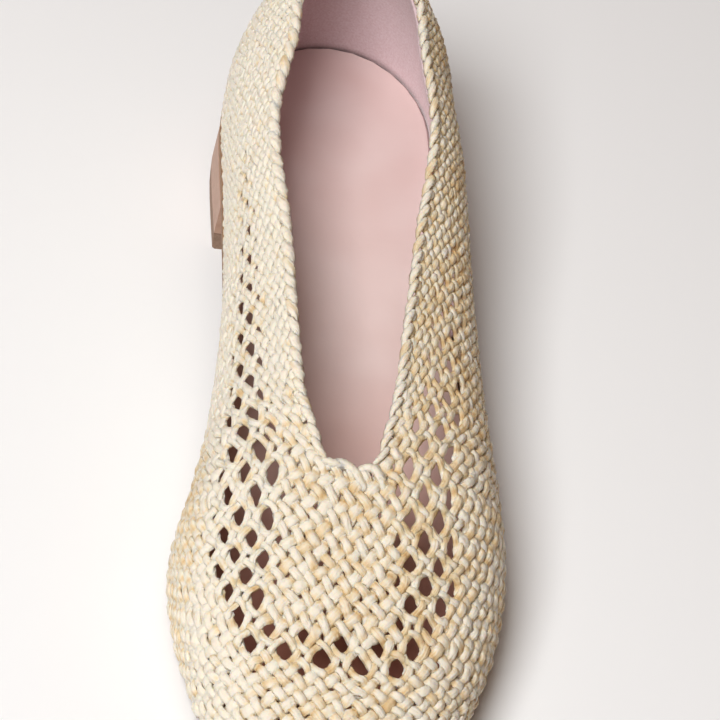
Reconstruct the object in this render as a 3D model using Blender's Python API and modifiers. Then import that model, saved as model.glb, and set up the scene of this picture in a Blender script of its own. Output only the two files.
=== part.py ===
"""Raffia ballet flat, one left shoe: a woven upper, an insole, an outsole and a low block heel.

The model is in metres with +Z up. The toe points to -Y and the inner (medial) side is at -X.
The tables below are in millimetres. Stations run from the back of the heel (0) to the tip of the toe.
"""

import bpy
import numpy as np

MM = 0.001

# One row per section of the last. A section is an arch from the sole edge up to a crown.
SECTION_COLUMNS = ("station", "crown_station", "crown_z", "edge_z", "medial", "lateral", "square", "bulge")
SECTIONS = np.array([
    (35.0, 35.0, 72.6, 23.0, 30.4, 30.4, 2.60, 0.030),
    (65.0, 65.0, 68.4, 21.0, 29.2, 33.2, 2.80, 0.034),
    (97.0, 97.0, 58.3, 15.0, 28.6, 35.9, 2.70, 0.034),
    (127.0, 127.0, 54.2, 9.0, 30.9, 39.8, 2.40, 0.026),
    (151.0, 151.0, 50.7, 5.7, 35.0, 43.0, 2.45, 0.022),
    (173.0, 173.0, 46.5, 4.6, 39.9, 44.2, 2.52, 0.022),
    (191.0, 192.5, 39.8, 5.1, 38.6, 41.8, 2.60, 0.022),
    (207.0, 213.0, 33.2, 6.3, 35.0, 36.7, 2.55, 0.022),
    (221.0, 229.5, 27.8, 7.9, 30.4, 30.3, 2.50, 0.020),
    (234.0, 241.0, 21.6, 9.6, 22.9, 22.0, 2.40, 0.015),
    (242.5, 245.3, 15.0, 10.6, 13.3, 12.6, 2.20, 0.010),
    (246.0, 246.0, 11.0, 11.0, 0.0, 0.0, 2.00, 0.000),
])
COLUMN = {name: SECTIONS[:, i] for i, name in enumerate(SECTION_COLUMNS)}
LAST_ROW = len(SECTIONS) - 1

# The back of the heel is swept round an upright axis at the first station.
HEEL_AXIS = 35.0
HEEL_DEPTH = 35.0
BACK_CROWN_Z = 84.4
BACK_OPENING = 24.5

# Half openings of the foot hole, measured from the centre line.
OPENING_COLUMNS = ("station", "medial", "lateral")
OPENINGS = np.array([
    (35.0, 16.4, 17.4),
    (65.0, 21.2, 20.3),
    (97.0, 17.0, 16.7),
    (127.0, 14.6, 13.2),
    (147.0, 12.6, 10.6),
    (160.0, 8.8, 7.5),
])
THROAT_START = 160.0
THROAT_END = 167.5
THROAT_SQUARE = 2.3

WALL = 2.2
SOLE_GAP = 0.3
OUTSOLE = 4.5
INSOLE_INSET = 3.2
INSOLE_LIFT = 0.1
INSOLE_TOP = 3.0
SOLE_HEEL_INSET = 0.3
SOLE_TOE_INSET = 1.8
SOLE_NARROWS = (70.0, 130.0)
HEEL_BREAST = 59.0
LIFT = 6.0
PIECE_GAP = 0.3

FAN_DEGREES = (0, 12, 24, 36, 48, 60, 72, 82)
SIDE_STATIONS = (
    35, 41, 47, 53, 59, 65, 71, 77, 83, 89, 95, 101, 107, 113, 119, 125, 131, 137, 143, 149, 155,
    160, 162.2, 164, 165.4, 166.5, 167.2, 167.5,
    171, 176, 182, 188, 194, 200, 206, 212, 217, 222, 227, 231.5, 235.5, 239, 241.8, 244, 245.4, 246,
)
ROWS_UP = 14
SIDES = {"medial": -1.0, "lateral": 1.0}

COLLECTION = "raffia_ballet_flat"


def smooth(knots, values, at, level=True):
    """A smooth curve through the values. It can start level, so that it runs on round the heel."""
    knots = np.asarray(knots, float)
    values = np.asarray(values, float)
    slope = np.gradient(values, knots)
    if level:
        slope[0] = 0.0
    i = np.clip(np.searchsorted(knots, at, side="right") - 1, 0, len(knots) - 2)
    gap = knots[i + 1] - knots[i]
    t = np.clip((at - knots[i]) / gap, 0.0, 1.0)
    rise = values[i] * (1 + 2 * t) * (1 - t) ** 2 + slope[i] * gap * t * (1 - t) ** 2
    return rise + values[i + 1] * t * t * (3 - 2 * t) + slope[i + 1] * gap * t * t * (t - 1)


def read(name, row):
    level = name not in ("station", "crown_station")
    return smooth(np.arange(LAST_ROW + 1), COLUMN[name], row, level)


def row_of(station):
    """The fractional table row that stands at a station."""
    rows = np.linspace(0, LAST_ROW, 4401)
    return float(np.interp(station, read("station", rows), rows))


def half_width(side, row):
    # The widths are read as squares, so that the toe closes round.
    squares = smooth(np.arange(LAST_ROW + 1), COLUMN[side] ** 2, row)
    return float(np.sqrt(max(squares, 0.0)))


def station_frame(side, fan, station):
    """All that one section of one side needs: plan direction, width, heights and opening."""
    if fan is not None:
        row, angle = 0.0, np.radians(fan)
        back, flank = np.cos(angle), np.sin(angle)
        opening = np.hypot(back / BACK_OPENING, flank / OPENINGS[0, OPENING_COLUMNS.index(side)]) ** -1
        crown_z = BACK_CROWN_Z * back ** 2 + COLUMN["crown_z"][0] * flank ** 2
        width = np.hypot(back / HEEL_DEPTH, flank / half_width(side, 0.0)) ** -1
        outward = (SIDES[side] * np.sin(angle), -np.cos(angle))
    else:
        row = row_of(station)
        knots, values = OPENINGS[:, 0], OPENINGS[:, OPENING_COLUMNS.index(side)]
        opening = float(smooth(knots, values, min(station, THROAT_START)))
        if station > THROAT_START:
            run = min((station - THROAT_START) / (THROAT_END - THROAT_START), 1.0)
            opening *= (1 - run ** THROAT_SQUARE) ** (1 / THROAT_SQUARE)
        crown_z = float(read("crown_z", row))
        width = half_width(side, row)
        outward = (SIDES[side], 0.0)
    return {
        "outward": outward,
        "width": width,
        "opening": opening,
        "base": float(read("station", row)),
        "crown_station": float(read("crown_station", row)),
        "edge_z": float(read("edge_z", row)),
        "crown_z": crown_z,
        "square": float(read("square", row)),
        "bulge": float(read("bulge", row)),
    }


def arch(frame, turn):
    """Share of the width and share of the rise at a turn from 0 (sole edge) to 1 (crown)."""
    angle = np.clip(turn, 0.0, 1.0) * np.pi / 2
    power = 2.0 / frame["square"]
    rise = np.sin(angle) ** power
    across = np.maximum(np.cos(angle), 0.0) ** power * (1 + frame["bulge"] * np.sin(np.pi * rise))
    return across, rise


def top_turn(frame):
    """The turn at which the arch meets the foot hole."""
    if frame["opening"] < 1e-6 or frame["width"] < 1e-6:
        return 1.0
    rise = 0.5
    for _ in range(30):
        across = frame["opening"] / (frame["width"] * (1 + frame["bulge"] * np.sin(np.pi * rise)))
        rise = (1 - min(across, 1.0) ** frame["square"]) ** (1 / frame["square"])
    return float(2 / np.pi * np.arcsin(min(rise, 1.0) ** (frame["square"] / 2)))


def surface_point(frame, turn):
    across, rise = arch(frame, turn)
    reach = frame["width"] * across
    forward = (frame["crown_station"] - frame["base"]) * rise ** 1.8
    x = frame["outward"][0] * reach
    station = frame["base"] + forward + frame["outward"][1] * reach
    z = frame["edge_z"] + (frame["crown_z"] - frame["edge_z"]) * rise
    return np.array((x, station, z))


STATIONS = [(fan, None) for fan in FAN_DEGREES] + [(None, station) for station in SIDE_STATIONS]


def upper_grid():
    """Points of the outside of the upper, as two sides by stations by rows up."""
    grid = np.zeros((2, len(STATIONS), ROWS_UP + 1, 3))
    for s, side in enumerate(SIDES):
        for i, (fan, station) in enumerate(STATIONS):
            frame = station_frame(side, fan, station)
            top = top_turn(frame)
            for j in range(ROWS_UP + 1):
                grid[s, i, j] = surface_point(frame, top * j / ROWS_UP)
    return grid


GRID = upper_grid()
LOW = GRID.reshape(-1, 3).min(axis=0)
HIGH = GRID.reshape(-1, 3).max(axis=0)
MIDDLE_X = (LOW[0] + HIGH[0]) / 2
MIDDLE_STATION = (LOW[1] + HIGH[1]) / 2


def to_model(points):
    """Table millimetres to model metres, with the origin under the middle of the shoe."""
    points = np.asarray(points, float)
    x = points[..., 0] - MIDDLE_X
    y = MIDDLE_STATION - points[..., 1]
    return np.stack((x, y, points[..., 2]), axis=-1) * MM


def principled(name, colour, roughness):
    material = bpy.data.materials.new(name)
    material.use_nodes = True
    shader = material.node_tree.nodes["Principled BSDF"]
    shader.inputs["Base Color"].default_value = (*colour, 1.0)
    shader.inputs["Roughness"].default_value = roughness
    shader.inputs["Metallic"].default_value = 0.0
    return material


def add_piece(name, points, faces, material):
    mesh = bpy.data.meshes.new(name)
    mesh.from_pydata([tuple(p) for p in points], [], faces)
    mesh.update()
    mesh.materials.append(material)
    piece = bpy.data.objects.new(name, mesh)
    bpy.data.collections[COLLECTION].objects.link(piece)
    return piece


def add_upper(material):
    """The upper as one skin with shared points, thickened inwards."""
    index, points, faces = {}, [], []

    def vertex(s, i, j):
        key = tuple(np.round(GRID[s, i, j], 4))
        if key not in index:
            index[key] = len(points)
            points.append(GRID[s, i, j])
        return index[key]

    for s in range(2):
        for i in range(len(STATIONS) - 1):
            for j in range(ROWS_UP):
                corners = [vertex(s, i, j), vertex(s, i + 1, j), vertex(s, i + 1, j + 1), vertex(s, i, j + 1)]
                loop = [c for n, c in enumerate(corners) if c not in corners[:n]]
                if len(loop) > 2:
                    faces.append(loop[::-1] if s == 1 else loop)
    piece = add_piece("upper", to_model(points), faces, material)
    wall = piece.modifiers.new("wall", "SOLIDIFY")
    wall.thickness = WALL * MM
    wall.offset = -1.0
    wall.use_even_offset = True
    wall.use_rim = True
    return piece


def outline(last_station=None):
    """The sole edge as station pairs: medial point, lateral point, each (x, station, z)."""
    pairs = []
    for fan, station in STATIONS:
        if last_station is not None and station is not None and station > last_station:
            continue
        frames = [station_frame(side, fan, station) for side in SIDES]
        pairs.append([surface_point(frame, 0.0) for frame in frames])
    return np.array(pairs)


def inset_loop(pairs, inset):
    """The outline drawn in by an inset, a size or a function of station, as medial and lateral points."""
    closed_toe = np.allclose(pairs[-1, 0], pairs[-1, 1])
    medial, lateral = pairs[:, 0], pairs[:, 1]
    ends = lateral[::-1][1:] if closed_toe else lateral[::-1]
    loop = np.concatenate((medial, ends))[:-1]
    before, after = np.roll(loop, 1, axis=0), np.roll(loop, -1, axis=0)
    if not closed_toe:
        # The straight front edge leaves the corners alone, so each corner follows its own side.
        corner = len(medial) - 1
        after[corner] = 2 * loop[corner] - before[corner]
        before[corner + 1] = 2 * loop[corner + 1] - after[corner + 1]
    along = (after - before)[:, :2]
    along /= np.linalg.norm(along, axis=1)[:, None]
    if callable(inset):
        inset = inset(loop[:, 1])
    drawn = loop.copy()
    drawn[:, 0] += -along[:, 1] * -inset
    drawn[:, 1] += along[:, 0] * -inset
    return drawn


def add_plate(name, material, rings, last_station=None):
    """A plate under or inside the upper. Each ring is an inset and a height above the sole edge or floor."""
    pairs = outline(last_station)
    count = len(pairs)
    closed_toe = np.allclose(pairs[-1, 0], pairs[-1, 1])
    loops = []
    for inset, height in rings:
        loop = inset_loop(pairs, inset)
        loop[:, 2] = [height(z) for z in loop[:, 2]]
        loops.append(loop)
    size = len(loops[0])
    points = np.concatenate(loops)
    faces = []
    for level in range(len(rings) - 1):
        for n in range(size):
            m = (n + 1) % size
            faces.append([level * size + n, level * size + m, (level + 1) * size + m, (level + 1) * size + n])
    for level, turned in ((0, True), (len(rings) - 1, False)):
        start = level * size
        for i in range(count - 1):
            left, ahead = start + i, start + i + 1
            across = [start + (size - i) % size, start + size - i - 1]
            quad = [left, ahead, across[1], across[0]]
            loop = [c for n, c in enumerate(quad) if c not in quad[:n]]
            if len(loop) > 2:
                faces.append(loop[::-1] if turned else loop)
    return add_piece(name, to_model(points), faces, material)


def sole_inset(extra):
    """The sole is flush at the heel and slips under the upper from the waist to the toe."""
    def inset(station):
        share = np.interp(station, SOLE_NARROWS, (0.0, 1.0))
        return extra + SOLE_HEEL_INSET + (SOLE_TOE_INSET - SOLE_HEEL_INSET) * share
    return inset


for old in list(bpy.data.objects):
    bpy.data.objects.remove(old, do_unlink=True)
bpy.context.scene.collection.children.link(bpy.data.collections.new(COLLECTION))

raffia = principled("raffia weave", (0.86, 0.77, 0.60), 0.7)
pink_leather = principled("pink leather", (0.68, 0.42, 0.38), 0.55)
sole_leather = principled("tan sole", (0.46, 0.30, 0.20), 0.6)
heel_wrap = principled("tan heel wrap", (0.56, 0.37, 0.27), 0.5)
lift_rubber = principled("taupe rubber", (0.38, 0.27, 0.20), 0.65)

SOLE_TOP = SOLE_GAP
SOLE_UNDER = SOLE_GAP + OUTSOLE
HEEL_UNDER = SOLE_UNDER + PIECE_GAP

add_upper(raffia)
add_plate("insole", pink_leather, (
    (INSOLE_INSET + 0.5, lambda z: z + INSOLE_LIFT),
    (INSOLE_INSET, lambda z: z + INSOLE_LIFT + 0.5),
    (INSOLE_INSET, lambda z: z + INSOLE_TOP - 0.7),
    (INSOLE_INSET + 0.7, lambda z: z + INSOLE_TOP),
))
add_plate("outsole", sole_leather, (
    (sole_inset(1.1), lambda z: max(z - SOLE_UNDER, 0.0)),
    (sole_inset(0.2), lambda z: max(z - SOLE_UNDER, 0.0) + 0.8),
    (sole_inset(0.0), lambda z: z - SOLE_TOP - 0.4),
    (sole_inset(0.4), lambda z: z - SOLE_TOP),
))
add_plate("heel_block", heel_wrap, (
    (0.2, lambda z: LIFT + PIECE_GAP),
    (0.5, lambda z: z - HEEL_UNDER),
), HEEL_BREAST)
add_plate("heel_lift", lift_rubber, (
    (1.2, lambda z: 0.0),
    (0.5, lambda z: 0.7),
    (0.2, lambda z: LIFT),
), HEEL_BREAST)
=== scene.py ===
# %% [markdown]
# This lesson dresses a raffia ballet flat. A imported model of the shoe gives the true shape: a shell
# for the upper, an insole, an outsole and a low heel in two parts. On the real shoe the upper is not
# a shell but a plain weave of raffia cords laid on the bias over a last, with an openwork band down
# each side and across the toes. The lesson weaves those cords over the same last, binds the edge of
# the foot hole, lines the heel, and then gives every surface its finish.

# %% Load the frame
import math

import bpy
import numpy as np
from mathutils import Matrix


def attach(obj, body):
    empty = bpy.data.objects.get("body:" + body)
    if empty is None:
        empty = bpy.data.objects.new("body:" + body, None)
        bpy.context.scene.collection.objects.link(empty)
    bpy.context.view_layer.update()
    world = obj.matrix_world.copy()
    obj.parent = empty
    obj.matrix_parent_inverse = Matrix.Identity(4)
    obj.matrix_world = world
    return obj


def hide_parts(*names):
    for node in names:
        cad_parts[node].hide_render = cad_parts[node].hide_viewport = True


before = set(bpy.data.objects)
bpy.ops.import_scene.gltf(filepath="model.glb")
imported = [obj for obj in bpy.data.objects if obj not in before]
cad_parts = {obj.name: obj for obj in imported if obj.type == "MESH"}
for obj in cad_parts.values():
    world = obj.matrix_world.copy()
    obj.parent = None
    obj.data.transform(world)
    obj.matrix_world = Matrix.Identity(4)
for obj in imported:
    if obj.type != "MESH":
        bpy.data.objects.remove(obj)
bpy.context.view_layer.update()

# %% [markdown]
# A shoe is designed from its last, and a last is drawn as a row of sections. Each section here is an
# arch from the sole edge up to a crown line, with its own squareness and bulge. The table repeats the
# sizes that the shell was built from, in millimetres, because the cords have to lie exactly where the
# shell does. Stations run from the back of the heel to the toe. The heel is swept round an upright
# axis, so stations below that axis are read as a walk round the heel to the back seam.

# %% The last as a table of sections
MM = 0.001
SECTION_COLUMNS = ("station", "crown_station", "crown_z", "edge_z", "medial", "lateral", "square", "bulge")
SECTIONS = np.array([
    (35.0, 35.0, 72.6, 23.0, 30.4, 30.4, 2.60, 0.030),
    (65.0, 65.0, 68.4, 21.0, 29.2, 33.2, 2.80, 0.034),
    (97.0, 97.0, 58.3, 15.0, 28.6, 35.9, 2.70, 0.034),
    (127.0, 127.0, 54.2, 9.0, 30.9, 39.8, 2.40, 0.026),
    (151.0, 151.0, 50.7, 5.7, 35.0, 43.0, 2.45, 0.022),
    (173.0, 173.0, 46.5, 4.6, 39.9, 44.2, 2.52, 0.022),
    (191.0, 192.5, 39.8, 5.1, 38.6, 41.8, 2.60, 0.022),
    (207.0, 213.0, 33.2, 6.3, 35.0, 36.7, 2.55, 0.022),
    (221.0, 229.5, 27.8, 7.9, 30.4, 30.3, 2.50, 0.020),
    (234.0, 241.0, 21.6, 9.6, 22.9, 22.0, 2.40, 0.015),
    (242.5, 245.3, 15.0, 10.6, 13.3, 12.6, 2.20, 0.010),
    (246.0, 246.0, 11.0, 11.0, 0.0, 0.0, 2.00, 0.000),
])
COLUMN = {name: SECTIONS[:, i] for i, name in enumerate(SECTION_COLUMNS)}
ROW_NUMBERS = np.arange(len(SECTIONS), dtype=float)
TOE_TIP = SECTIONS[-1, 0]
CROWN_LEAN = 1.8

HEEL_AXIS = 35.0
HEEL_DEPTH = 35.0
BACK_CROWN_Z = 84.4
BACK_OPENING = 24.5
HEEL_WALK_RADIUS = 29.0
BACK_SEAM = HEEL_AXIS - HEEL_WALK_RADIUS * math.pi / 2

OPENING_COLUMNS = ("station", "medial", "lateral")
OPENINGS = np.array([
    (35.0, 16.4, 17.4),
    (65.0, 21.2, 20.3),
    (97.0, 17.0, 16.7),
    (127.0, 14.6, 13.2),
    (147.0, 12.6, 10.6),
    (160.0, 8.8, 7.5),
])
THROAT_START, THROAT_END, THROAT_SQUARE = 160.0, 167.5, 2.3
SIDES = {"medial": -1.0, "lateral": 1.0}
FINE_STEPS = 4401


def smooth(knots, values, at, level=True):
    """A smooth curve through the values, level at its start unless told otherwise."""
    slope = np.gradient(values, knots)
    if level:
        slope[0] = 0.0
    i = np.clip(np.searchsorted(knots, at, side="right") - 1, 0, len(knots) - 2)
    gap = knots[i + 1] - knots[i]
    t = np.clip((at - knots[i]) / gap, 0.0, 1.0)
    near = values[i] * (1 + 2 * t) * (1 - t) ** 2 + slope[i] * gap * t * (1 - t) ** 2
    far = values[i + 1] * t * t * (3 - 2 * t) + slope[i + 1] * gap * t * t * (t - 1)
    return near + far


FINE_ROWS = np.linspace(0, ROW_NUMBERS[-1], FINE_STEPS)
FINE_STATIONS = smooth(ROW_NUMBERS, COLUMN["station"], FINE_ROWS, level=False)


def section(side, station):
    """What the sections of one side need, for an array of stations."""
    walk = np.clip((HEEL_AXIS - station) / HEEL_WALK_RADIUS, 0.0, math.pi / 2)
    flank, back = np.cos(walk), np.sin(walk)
    row = np.interp(np.maximum(station, HEEL_AXIS), FINE_STATIONS, FINE_ROWS)

    def column(name):
        return smooth(ROW_NUMBERS, COLUMN[name], row, level=name not in ("station", "crown_station"))

    squares = smooth(ROW_NUMBERS, COLUMN[side] ** 2, row)
    width = np.sqrt(np.maximum(squares, 1e-8))
    half_opening = OPENINGS[:, OPENING_COLUMNS.index(side)]
    opened = smooth(OPENINGS[:, 0], half_opening, np.minimum(station, THROAT_START))
    throat = np.clip((station - THROAT_START) / (THROAT_END - THROAT_START), 0.0, 1.0)
    opened = np.maximum(opened * (1 - throat ** THROAT_SQUARE) ** (1 / THROAT_SQUARE), 1e-6)
    return {
        "out_x": SIDES[side] * flank,
        "out_y": -back,
        "width": 1 / np.hypot(back / HEEL_DEPTH, flank / width),
        "opening": 1 / np.hypot(back / BACK_OPENING, flank / opened),
        "base": column("station"),
        "crown": column("crown_station"),
        "low": column("edge_z"),
        "high": BACK_CROWN_Z * back ** 2 + column("crown_z") * flank ** 2,
        "power": 2 / column("square"),
        "bulge": column("bulge"),
    }


def arch_points(part, turn):
    """Points of a section from the sole edge (turn 0) to the crown (turn 1), and how far out they reach."""
    angle = turn * math.pi / 2
    rise = np.sin(angle) ** part["power"]
    across = np.maximum(np.cos(angle), 0.0) ** part["power"] * (1 + part["bulge"] * np.sin(math.pi * rise))
    reach = part["width"] * across
    forward = (part["crown"] - part["base"]) * rise ** CROWN_LEAN
    x = part["out_x"] * reach
    y = part["base"] + forward + part["out_y"] * reach
    z = part["low"] + (part["high"] - part["low"]) * rise
    return np.stack((x, y, z), axis=-1), reach


print("back seam at walk station", round(BACK_SEAM, 2), "mm")

# %% [markdown]
# A weaver thinks in two measures: how far along the shoe, and how far down from the crown line with a
# tape laid on the surface. So the last is turned into one sheet of points with even tape spacing,
# from the medial sole edge over the crown to the lateral sole edge. Any station and tape reading then
# gives a point and the direction that faces out. A finished mesh with UVs could do the same, but the
# sheet is shorter and needs no lookups by face.

# %% The last as one measured sheet
HALF_COLUMNS = 90
TIP_STATION = 234.0
SHEET_ROWS, TIP_ROWS, TURN_STEPS = 360, 120, 241
SHEET_STATIONS = np.concatenate((
    np.linspace(BACK_SEAM, TIP_STATION, SHEET_ROWS, endpoint=False),
    TOE_TIP - (TOE_TIP - TIP_STATION) * np.linspace(1.0, 0.0, TIP_ROWS) ** 2,
))
TURNS = np.linspace(0.0, 1.0, TURN_STEPS)
CHECK_STATION = 190.0


def measured_half(side):
    """One side as evenly spaced rows from crown to sole edge, with its girth and its topline reading."""
    points, reach = arch_points(section(side, SHEET_STATIONS[:, None]), TURNS[None, :])
    points, reach = points[:, ::-1], reach[:, ::-1]
    steps = np.linalg.norm(np.diff(points, axis=1), axis=2)
    tape = np.concatenate((np.zeros((len(points), 1)), np.cumsum(steps, axis=1)), axis=1)
    girth = np.maximum(tape[:, -1], 1e-3)
    opening = section(side, SHEET_STATIONS)["opening"]
    even = np.linspace(0.0, 1.0, HALF_COLUMNS + 1)
    rows, top = [], []
    for i in range(len(points)):
        rows.append([np.interp(even * tape[i, -1], tape[i], points[i, :, k]) for k in range(3)])
        widest = int(np.argmax(reach[i])) + 1
        top.append(np.interp(opening[i], reach[i, :widest], tape[i, :widest]))
    return np.transpose(rows, (0, 2, 1)), girth, np.array(top)


medial_half, medial_girth, medial_top = measured_half("medial")
lateral_half, lateral_girth, lateral_top = measured_half("lateral")
SHEET = np.concatenate((medial_half[:, ::-1], lateral_half[:, 1:]), axis=1)
sheet_normals = np.cross(np.gradient(SHEET, axis=1), np.gradient(SHEET, axis=0))
sheet_normals /= np.maximum(np.linalg.norm(sheet_normals, axis=2, keepdims=True), 1e-9)
MIDDLE_X = (SHEET[..., 0].min() + SHEET[..., 0].max()) / 2
MIDDLE_STATION = (SHEET[..., 1].min() + SHEET[..., 1].max()) / 2


def side_reading(station, tape, medial, lateral):
    """A reading per station, from whichever side the tape is on."""
    on_medial = np.interp(station, SHEET_STATIONS, medial)
    on_lateral = np.interp(station, SHEET_STATIONS, lateral)
    return np.where(tape < 0, on_medial, on_lateral)


def girth_at(station, tape):
    """Tape from the crown to the sole edge."""
    return side_reading(station, tape, medial_girth, lateral_girth)


def topline_at(station, tape):
    """Tape from the crown to the edge of the foot hole."""
    return side_reading(station, tape, medial_top, lateral_top)


def on_last(station, tape):
    """Surface points in table millimetres and outward directions, for arrays of readings."""
    past_seam = station < BACK_SEAM
    station = np.where(past_seam, 2 * BACK_SEAM - station, station)
    tape = np.where(past_seam, -tape, tape)
    row = np.interp(station, SHEET_STATIONS, np.arange(len(SHEET_STATIONS)))
    column = (tape / girth_at(station, tape) + 1) * HALF_COLUMNS
    i = np.clip(row.astype(int), 0, len(SHEET_STATIONS) - 2)
    j = np.clip(np.floor(column).astype(int), 0, 2 * HALF_COLUMNS - 1)
    s, t = (row - i)[..., None], (column - j)[..., None]

    def blend(values):
        near = (1 - t) * values[i, j] + t * values[i, j + 1]
        far = (1 - t) * values[i + 1, j] + t * values[i + 1, j + 1]
        return (1 - s) * near + s * far

    normal = blend(sheet_normals)
    return blend(SHEET), normal / np.maximum(np.linalg.norm(normal, axis=-1, keepdims=True), 1e-9)


def to_model(points):
    """Table millimetres to model metres, where the toe points to -Y."""
    points = np.asarray(points, float)
    moved = np.stack((points[..., 0] - MIDDLE_X, MIDDLE_STATION - points[..., 1], points[..., 2]), axis=-1)
    return moved * MM


crown_check, crown_out = on_last(np.array([CHECK_STATION]), np.array([0.0]))
print("crown at station", CHECK_STATION, "is", np.round(crown_check[0], 1))
print("it faces", np.round(crown_out[0], 2))

# %% [markdown]
# The cloth is a plain weave on the bias: one family of cords climbs to the left, the other to the
# right, and each passes over one and under one. The weave is charted by rows along the shoe and
# columns across it, with row 0 through the big holes over the toes and column 0 on the crown line.
# Rows and columns are not evenly spaced, because the weaver pulls the work in at the ball and lets
# it out over the toes, so two short tables say where they fall. The rows also sweep back towards
# the sole, further on the medial side.

# %% Chart of the weave
ROW_TABLE = np.array([
    # row of the weave, station on the crown line
    (-49.0, BACK_SEAM),
    (-38.0, 33.0),
    (-30.0, 64.5),
    (-26.0, 80.8),
    (-22.0, 98.5),
    (-18.0, 116.8),
    (-14.0, 136.7),
    (-12.0, 147.5),
    (-10.0, 159.0),
    (-8.0, 172.0),
    (-6.0, 183.6),
    (-4.0, 192.4),
    (-2.0, 200.0),
    (0.0, 208.6),
    (3.7, 221.0),
    (6.5, 234.0),
    (8.2, 242.5),
    (9.1, TOE_TIP),
])
FIRST_ROW, LAST_ROW = ROW_TABLE[0, 0], ROW_TABLE[-1, 0]
VAMP_COLUMNS = np.array([
    # station, column width in millimetres of tape
    (140.0, 4.10),
    (165.0, 3.92),
    (182.0, 3.94),
    (192.0, 4.08),
    (200.0, 4.35),
    (207.0, 4.60),
    (220.0, 4.95),
    (TOE_TIP, 5.00),
])
QUARTER_COLUMNS = np.array([
    # column, millimetres of tape below the topline at the waist, the same at the heel
    (0.8, 0.0, 0.0),
    (5.0, 10.9, 10.9),
    (8.5, 25.9, 22.0),
    (20.0, 66.0, 58.0),
])
SWEEP, SWEEP_COLUMN = 0.068, 2.3
CENTRE_COLUMN = 0.2
# Stretches of stations over which one rule passes into the next.
HEEL_TO_WAIST = (40.0, 120.0)
QUARTER_WAIST = (75.0, 110.0)
QUARTER_TO_VAMP = (140.0, 176.0)
TOPLINE_ENDS, TOPLINE_FADES = 150.0, (146.0, 180.0)


def ease(at, start, end):
    """0 before start, 1 after end, and a soft step between."""
    t = np.clip((at - start) / (end - start), 0.0, 1.0)
    return t * t * (3 - 2 * t)


def between(first, second, share):
    """A value that passes from the first to the second as the share goes from 0 to 1."""
    return first + (second - first) * share


def below_topline(column, at_waist):
    """Tape from the topline down to a column of the quarters."""
    knots, waist, heel = QUARTER_COLUMNS.T
    waist_tape = smooth(knots, waist, column, level=False)
    heel_tape = smooth(knots, heel, column, level=False)
    return between(heel_tape, waist_tape, at_waist)


def chart_to_tape(row, column):
    """Station and tape reading of a place on the chart."""
    station = smooth(ROW_TABLE[:, 0], ROW_TABLE[:, 1], row, level=False)
    # At the heel the two sides mirror each other, so that the cords meet across the back seam.
    forward_share = ease(station, *HEEL_TO_WAIST)
    station = station - SWEEP * forward_share * (column - SWEEP_COLUMN) ** 2
    pitch = np.interp(station, VAMP_COLUMNS[:, 0], VAMP_COLUMNS[:, 1])
    vamp_tape = (column - CENTRE_COLUMN * forward_share) * pitch
    side = np.clip(column / QUARTER_COLUMNS[0, 0], -1.0, 1.0)
    opened = topline_at(np.minimum(station, TOPLINE_ENDS), column) * (1 - ease(station, *TOPLINE_FADES))
    quarter_tape = side * (opened + below_topline(np.abs(column), ease(station, *QUARTER_WAIST)))
    return station, between(quarter_tape, vamp_tape, ease(station, *QUARTER_TO_VAMP))


print("rows from heel seam to toe:", LAST_ROW - FIRST_ROW)

# %% [markdown]
# The openwork is the same weave. The weaver draws the cords together in pairs, and each pair leaves a
# hole beside it, at every other crossing. A share between 0 and 1 says how tightly that is done: in a
# band down each side from the toes to the heel, and in a wider one across the toes whose corners are
# cut along the cords. Two pairs that cross need room for each other, so a pair spreads at each
# crossing and closes up beside each hole. That rounds the corners of the holes.

# %% Where the weave opens
SPREAD_AT_CROSSING = 0.85
OPENWORK_QUARTER_ROWS = (8.0, 14.0)
# Columns of the side bands, on the vamp and on the quarters.
MEDIAL_BANDS = ((-8.3, -4.9), (-7.3, -5.6))
LATERAL_BANDS = ((3.6, 6.9), (4.2, 6.9))
SIDE_SOFT, TOE_SOFT = 1.1, 0.75
LATERAL_QUARTER_SHARE = 0.75
# The bands slacken over these rows behind the toes, down to a share on each side, and then end.
SLACK_ROWS, MEDIAL_SLACK, LATERAL_SLACK = (9.0, 24.0), 0.75, 0.45
MEDIAL_END_ROWS, LATERAL_END_ROWS = (27.5, 30.0), (25.0, 29.0)
TOE_ROWS = (-0.7, 0.2)
TOE_MIDDLE, TOE_REACH = -1.0, (5.4, 6.4)
MEDIAL_CORNER, LATERAL_CORNER = (5.2, 6.2), (3.2, 4.2)


def band(at, low, high, soft):
    """1 between low and high, fading to 0 over a soft margin outside."""
    return ease(at, low - soft, low) * (1 - ease(at, high, high + soft))


def side_band(column, bands, behind):
    """1 inside a side band, whose edges shift from the vamp to the quarters."""
    low, high = (between(on_vamp, on_quarter, behind) for on_vamp, on_quarter in zip(*bands))
    return band(column, low, high, SIDE_SOFT)


def open_share(row, column):
    """How tightly the cords are drawn together at a place on the chart."""
    behind = ease(-row, *OPENWORK_QUARTER_ROWS)
    slack = ease(-row, *SLACK_ROWS)
    medial_front = 1 - ease(row - column, *MEDIAL_CORNER)
    lateral_front = 1 - ease(row + column, *LATERAL_CORNER)
    medial = side_band(column, MEDIAL_BANDS, behind) * medial_front
    medial = medial * between(1.0, MEDIAL_SLACK, slack) * (1 - ease(-row, *MEDIAL_END_ROWS))
    lateral = side_band(column, LATERAL_BANDS, behind) * lateral_front
    lateral = lateral * between(1.0, LATERAL_QUARTER_SHARE, behind)
    lateral = lateral * between(1.0, LATERAL_SLACK, slack) * (1 - ease(-row, *LATERAL_END_ROWS))
    across_toes = 1 - ease(np.abs(column - TOE_MIDDLE), *TOE_REACH)
    toes = band(row, *TOE_ROWS, TOE_SOFT) * across_toes * medial_front * lateral_front
    return np.maximum(np.maximum(medial, lateral), toes)


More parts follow.
